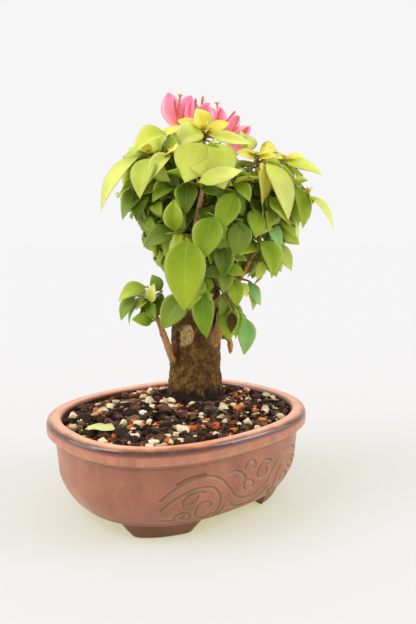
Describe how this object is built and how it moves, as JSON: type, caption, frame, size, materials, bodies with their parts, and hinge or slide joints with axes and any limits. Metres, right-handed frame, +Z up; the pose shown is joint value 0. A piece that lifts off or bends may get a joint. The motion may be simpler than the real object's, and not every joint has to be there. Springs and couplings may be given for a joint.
{
  "type": "bougainvillea bonsai in an oval pot",
  "caption": "Potted bougainvillea bonsai: stout trunk with root flare, tapering boughs, leafy crown, pink bracts on top, oval glazed pot on feet, filled with gritty soil",
  "frame": {"origin": "middle of the pot, level with the undersides of its feet", "axes": "+Z up, X along the pot's long axis, -Y towards the carved side of the pot"},
  "size_m": [0.2, 0.168, 0.3131],
  "materials": {
    "pot_glaze": "satin",
    "potting_mix": "matte",
    "bark": "matte",
    "leaf": "satin",
    "bract": "matte"
  },
  "bodies": {
    "root": {"pot": "pot_glaze", "soil": "potting_mix", "trunk": "bark", "bough_low_left": "bark", "bough_right": "bark", "bough_top": "bark", "bough_left": "bark", "bough_front": "bark", "bough_back_left": "bark", "bough_back_right": "bark", "bough_blossom": "bark", "dead_stub": "bark", "crown_top": "leaf", "crown_left": "leaf", "crown_right": "leaf", "crown_front": "leaf", "crown_right_low": "leaf", "low_left_spray": "leaf", "crown_back_left": "leaf", "crown_back_right": "leaf", "blossom": "bract"}
  },
  "joints": []
}
